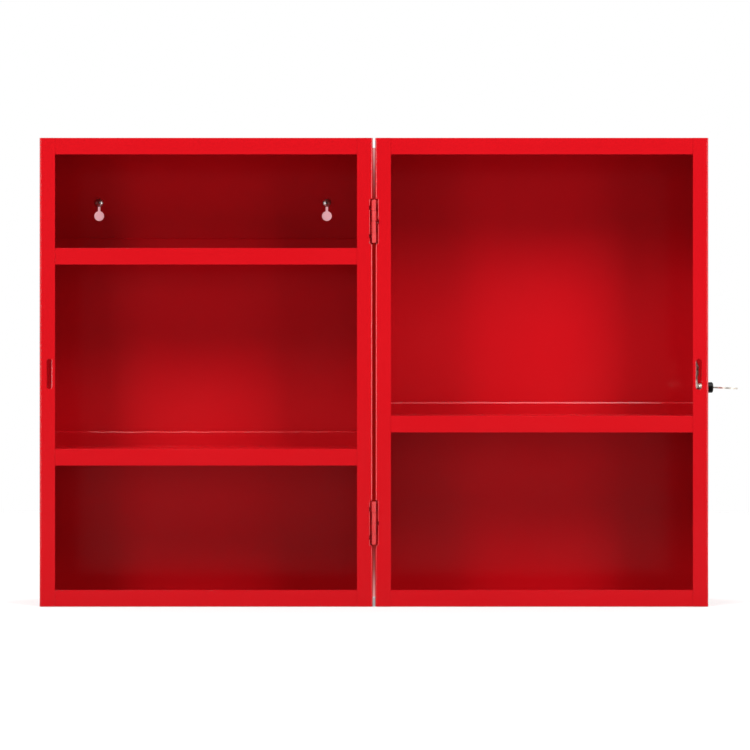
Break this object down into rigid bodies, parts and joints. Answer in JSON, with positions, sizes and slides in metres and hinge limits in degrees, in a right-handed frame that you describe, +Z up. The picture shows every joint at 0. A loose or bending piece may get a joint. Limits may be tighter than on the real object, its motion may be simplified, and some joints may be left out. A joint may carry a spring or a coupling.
{
  "type": "wall cabinet",
  "caption": "Red sheet-steel wall cabinet that opens like a book, with shelves in both halves, butt hinges, a hooked cam lock with key, and keyholes for hanging.",
  "frame": {"origin": "centre of the wall half's rear face, which lies against the wall", "axes": "+X to the right across both open halves, +Y into the wall, +Z up"},
  "size_m": [0.6728, 0.0976, 0.45],
  "materials": {
    "red_powder_coat": "satin powder coat with a fine orange-peel texture",
    "black_lock_head": "semi-gloss black plating",
    "bright_nickel": "bright nickel plate, lightly worn",
    "zinc_steel": "bright zinc plate"
  },
  "bodies": {
    "wall_half": {"body_mantle": "red_powder_coat", "body_top": "red_powder_coat", "body_bottom": "red_powder_coat", "body_upper_shelf": "red_powder_coat", "body_lower_shelf": "red_powder_coat", "wall_screw_left": "zinc_steel", "wall_screw_right": "zinc_steel", "upper_hinge_body_leaf": "red_powder_coat", "upper_hinge_pin": "red_powder_coat", "upper_hinge_body_rivet_top": "red_powder_coat", "upper_hinge_body_rivet_bottom": "red_powder_coat", "lower_hinge_body_leaf": "red_powder_coat", "lower_hinge_pin": "red_powder_coat", "lower_hinge_body_rivet_top": "red_powder_coat", "lower_hinge_body_rivet_bottom": "red_powder_coat"},
    "door": {"door_mantle": "red_powder_coat", "door_top": "red_powder_coat", "door_bottom": "red_powder_coat", "door_shelf": "red_powder_coat", "upper_hinge_door_leaf": "red_powder_coat", "upper_hinge_door_rivet": "red_powder_coat", "lower_hinge_door_leaf": "red_powder_coat", "lower_hinge_door_rivet": "red_powder_coat", "lock_housing": "black_lock_head", "lock_nut": "zinc_steel"},
    "lock_core": {"lock_plug": "bright_nickel", "lock_cam": "bright_nickel", "cam_washer": "bright_nickel", "cam_screw": "bright_nickel"},
    "key": {"key": "bright_nickel"}
  },
  "joints": [
    {"name": "door_hinge", "type": "hinge", "parent": "wall_half", "child": "door", "pos_m": [0.16125, -0.0955, 0], "axis": [0, 0, -1], "range_deg": [0, 180]},
    {"name": "lock_turn", "type": "hinge", "parent": "door", "child": "lock_core", "pos_m": [0.4825, -0.08, -0.0147], "axis": [1, 0, 0], "range_deg": [0, 90]},
    {"name": "key_slide", "type": "slide", "parent": "lock_core", "child": "key", "axis": [1, 0, 0], "range_m": [0, 0.012]}
  ]
}
